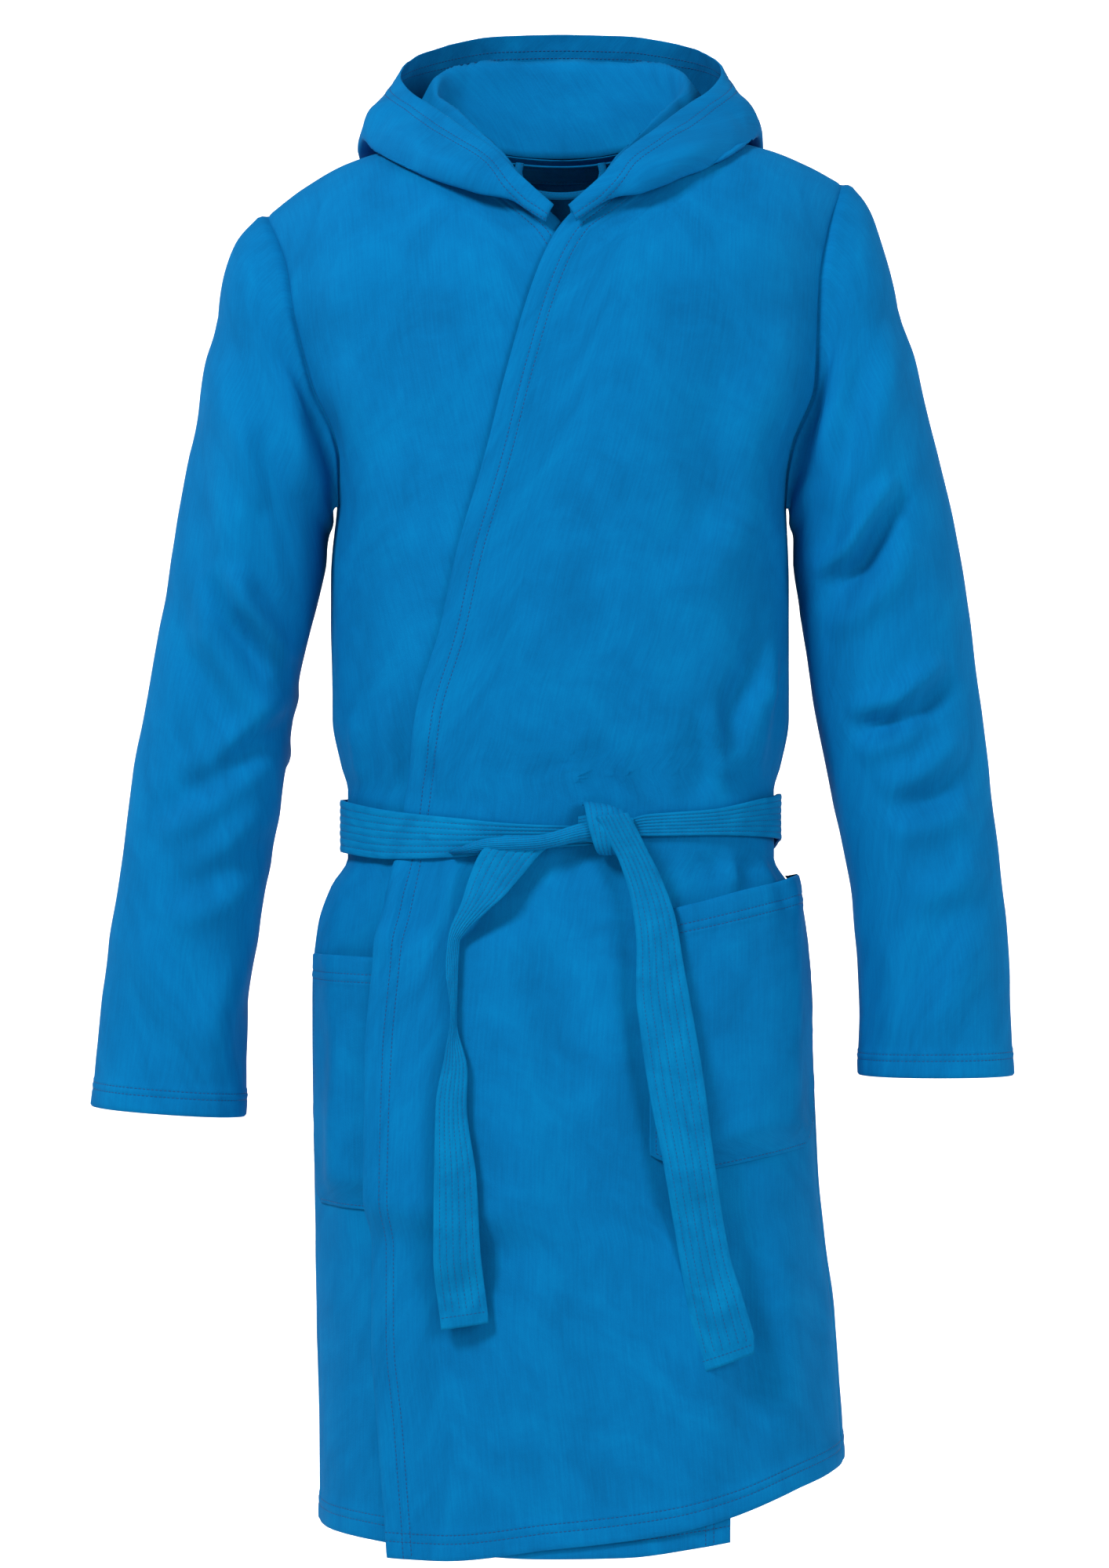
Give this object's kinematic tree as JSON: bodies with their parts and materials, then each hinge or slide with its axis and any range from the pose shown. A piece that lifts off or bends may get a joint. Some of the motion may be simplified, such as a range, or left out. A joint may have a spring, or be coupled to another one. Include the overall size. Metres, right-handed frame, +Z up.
{
  "type": "bathrobe",
  "caption": "Hooded wrap bathrobe of smooth blue microfibre, tied with a ribbed belt, with long sleeves and two patch pockets.",
  "frame": {"origin": "midway between the middles of the two shoulder seams, in the middle plane of the body, where the robe rests on the wearer's shoulders", "axes": "+Z up towards the hood, -Y out of the front of the robe, +X to the wearer's left"},
  "size_m": [0.6659, 0.3034, 1.109],
  "materials": {
    "microfibre": "brushed matt microfibre, peach-skin nap",
    "microfibre_hem": "the same cloth doubled and twin-needle stitched",
    "belt_microfibre": "the same cloth, quilted with lengthwise rows of stitching"
  },
  "bodies": {
    "garment": {"back_panel": "microfibre", "hem_back": "microfibre_hem", "front_panel_left": "microfibre", "front_band_left": "microfibre_hem", "hem_front_left": "microfibre_hem", "front_panel_right": "microfibre", "front_band_right": "microfibre_hem", "hem_front_right": "microfibre_hem", "sleeve_cap_left": "microfibre", "sleeve_cap_right": "microfibre", "pocket_left": "microfibre", "pocket_right": "microfibre", "belt_wrap": "belt_microfibre", "belt_knot": "belt_microfibre", "belt_loop_left": "microfibre_hem", "belt_loop_right": "microfibre_hem", "hood_side_left": "microfibre", "hood_band_left": "microfibre_hem", "hood_side_right": "microfibre", "hood_band_right": "microfibre_hem", "neck_tape": "microfibre_hem"},
    "sleeve_left": {"sleeve_left": "microfibre", "cuff_hem_left": "microfibre_hem"},
    "sleeve_right": {"sleeve_right": "microfibre", "cuff_hem_right": "microfibre_hem"},
    "hood_crown": {"hood_crown_left": "microfibre", "hood_crown_band_left": "microfibre_hem", "hood_crown_right": "microfibre", "hood_crown_band_right": "microfibre_hem"},
    "belt_tail_left": {"belt_tail_left": "belt_microfibre"},
    "belt_tail_right": {"belt_tail_right": "belt_microfibre"},
    "hanger_loop": {"hanger_loop": "microfibre_hem"}
  },
  "joints": [
    {"name": "left_sleeve_raise", "type": "hinge", "parent": "garment", "child": "sleeve_left", "pos_m": [0.205, 0, -0.045], "axis": [0, -1, 0], "range_deg": [0, 50]},
    {"name": "right_sleeve_raise", "type": "hinge", "parent": "garment", "child": "sleeve_right", "pos_m": [-0.205, 0, -0.045], "axis": [0, 1, 0], "range_deg": [0, 50]},
    {"name": "hood_lift", "type": "hinge", "parent": "garment", "child": "hood_crown", "pos_m": [0, 0.032, 0.004], "axis": [1, 0, 0], "range_deg": [0, 40]},
    {"name": "left_tail_swing", "type": "hinge", "parent": "garment", "child": "belt_tail_left", "pos_m": [0.036, -0.1102, -0.5066], "axis": [-1, 0, 0], "range_deg": [0, 70]},
    {"name": "right_tail_swing", "type": "hinge", "parent": "garment", "child": "belt_tail_right", "pos_m": [0.01, -0.1035, -0.4758], "axis": [-1, 0, 0], "range_deg": [0, 70]},
    {"name": "hanger_loop_swing", "type": "hinge", "parent": "garment", "child": "hanger_loop", "pos_m": [0, 0.0462, 0.0024], "axis": [-1, 0, 0], "range_deg": [0, 100]}
  ]
}
